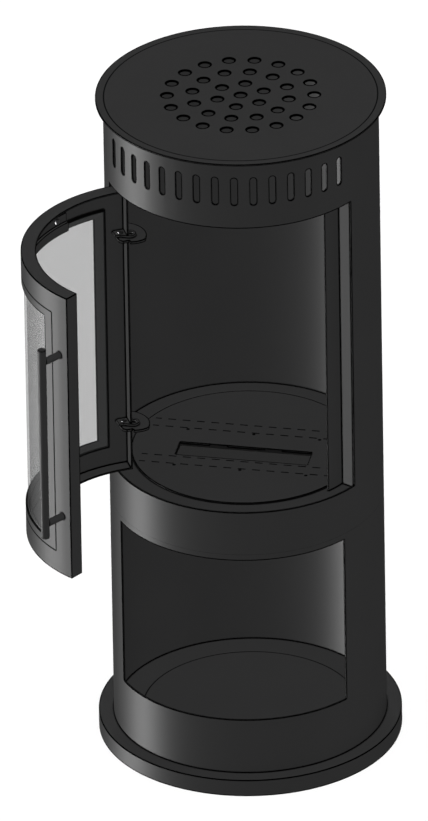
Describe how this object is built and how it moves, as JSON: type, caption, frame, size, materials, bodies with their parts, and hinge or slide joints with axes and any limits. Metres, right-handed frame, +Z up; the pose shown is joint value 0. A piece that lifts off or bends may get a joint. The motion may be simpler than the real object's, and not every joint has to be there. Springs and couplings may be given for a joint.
{
  "type": "bioethanol fireplace",
  "caption": "Free-standing cylindrical bioethanol fireplace in dark sheet steel with an open niche, a curved glazed door standing open and a burner slot",
  "frame": {"origin": "middle of the base, on the floor", "axes": "+Z up; -Y to the front, where the niche and the door opening are; +X to the right seen from the front"},
  "size_m": [0.5544, 0.7693, 1.175],
  "materials": {
    "shell": "fine matt dark grey powder coat",
    "burner": "satin stainless sheet",
    "zinc": "bright zinc-plated fasteners and pins",
    "magnet": "nickel-plated magnet",
    "fibre": "dense dark ceramic fibre",
    "glass": "clear heat-resisting glass with a faint grey tint",
    "gasket": "black woven glass-fibre tape"
  },
  "bodies": {
    "stove": {"base_plate": "shell", "base_ring": "shell", "base_spacers": "zinc", "base_bottom": "shell", "base_screws": "zinc", "lower_casing": "shell", "lower_flange": "shell", "niche_ceiling": "shell", "casing_bolts": "zinc", "casing_nuts": "zinc", "upper_casing": "shell", "floor_ring": "shell", "right_jamb": "shell", "left_jamb": "shell", "door_magnet": "magnet", "hinge_plate_upper": "shell", "hinge_plate_lower": "shell", "hinge_pin_upper": "zinc", "hinge_pin_lower": "zinc", "hinge_washers": "zinc", "top_plate": "shell", "top_studs": "zinc", "top_brackets": "shell", "top_nuts": "zinc"},
    "door": {"door_shell": "shell", "door_glass": "glass", "glass_gasket": "gasket", "glass_retainer_upper": "shell", "glass_retainer_lower": "shell", "retainer_screws": "zinc", "hinge_lug_upper": "shell", "hinge_lug_lower": "shell", "handle_bar": "shell", "handle_standoffs": "shell", "handle_screws": "zinc"},
    "floor_insert": {"floor_disc": "shell", "front_rail": "shell", "rear_rail": "shell", "rail_screws": "zinc", "burner_tank": "burner", "burner_cover": "burner", "lid_guides": "burner", "burner_filler": "fibre"},
    "damper": {"damper_lid": "burner"}
  },
  "joints": [
    {"name": "door_hinge", "type": "hinge", "parent": "stove", "child": "door", "pos_m": [-0.18202, -0.11063, 0.9623], "axis": [0, 0, 1], "range_deg": [-8, 92.5]},
    {"name": "floor_lift", "type": "slide", "parent": "stove", "child": "floor_insert", "axis": [0, 0, 1], "range_m": [0, 0.06]},
    {"name": "damper_slide", "type": "slide", "parent": "floor_insert", "child": "damper", "axis": [0, 1, 0], "range_m": [-0.0404, 0]}
  ]
}
